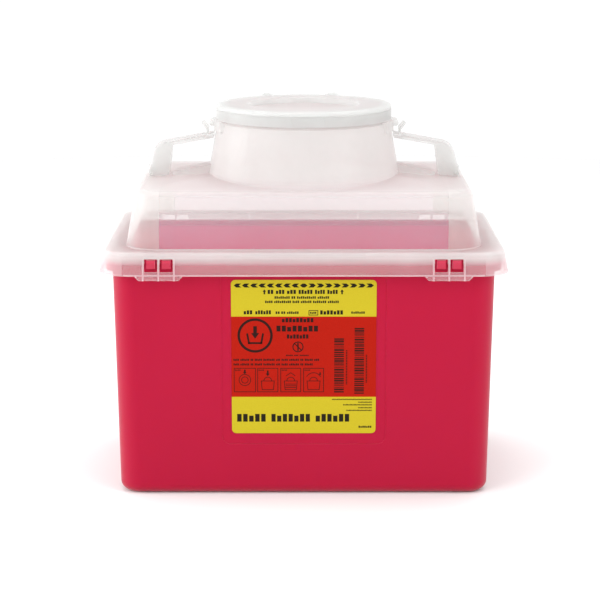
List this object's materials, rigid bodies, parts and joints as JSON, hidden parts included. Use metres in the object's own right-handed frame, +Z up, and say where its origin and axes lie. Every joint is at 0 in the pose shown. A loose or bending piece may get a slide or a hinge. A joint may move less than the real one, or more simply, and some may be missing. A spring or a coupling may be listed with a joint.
{
  "type": "sharps container",
  "caption": "Rectangular drafted bin for used sharps with a clear press-on top, round neck, flip-up entry flap in a cap ring, and fold-out strap handles.",
  "frame": {"origin": "on the plane the bin stands on, under the middle of the container", "axes": "+Z up, +X along the long side to the right when facing the label, -Y towards the label"},
  "size_m": [0.325, 0.2242, 0.3076],
  "materials": {
    "red_bin": "satin moulded translucent crimson polypropylene",
    "label_film": "printed film label",
    "clear_top": "natural translucent polypropylene",
    "handle_plastic": "natural translucent polypropylene",
    "cap_plastic": "milky satin polypropylene"
  },
  "bodies": {
    "container": {"base_bin": "red_bin", "front_label": "label_film", "lid_top": "clear_top", "cap_ring": "cap_plastic"},
    "flap": {"entry_flap": "cap_plastic"},
    "handle_left": {"handle_left": "handle_plastic"},
    "handle_right": {"handle_right": "handle_plastic"}
  },
  "joints": [
    {"name": "flap_hinge", "type": "hinge", "parent": "container", "child": "flap", "pos_m": [-0.00391, 0.0747, 0.3044], "axis": [-0.9986, -0.0523, 0], "range_deg": [0, 135]},
    {"name": "left_handle_hinge", "type": "hinge", "parent": "container", "child": "handle_left", "pos_m": [-0.1256, 0, 0.2487], "axis": [0, -1, 0], "range_deg": [0, 100]},
    {"name": "right_handle_hinge", "type": "hinge", "parent": "container", "child": "handle_right", "pos_m": [0.1256, 0, 0.2487], "axis": [0, 1, 0], "range_deg": [0, 100]}
  ]
}
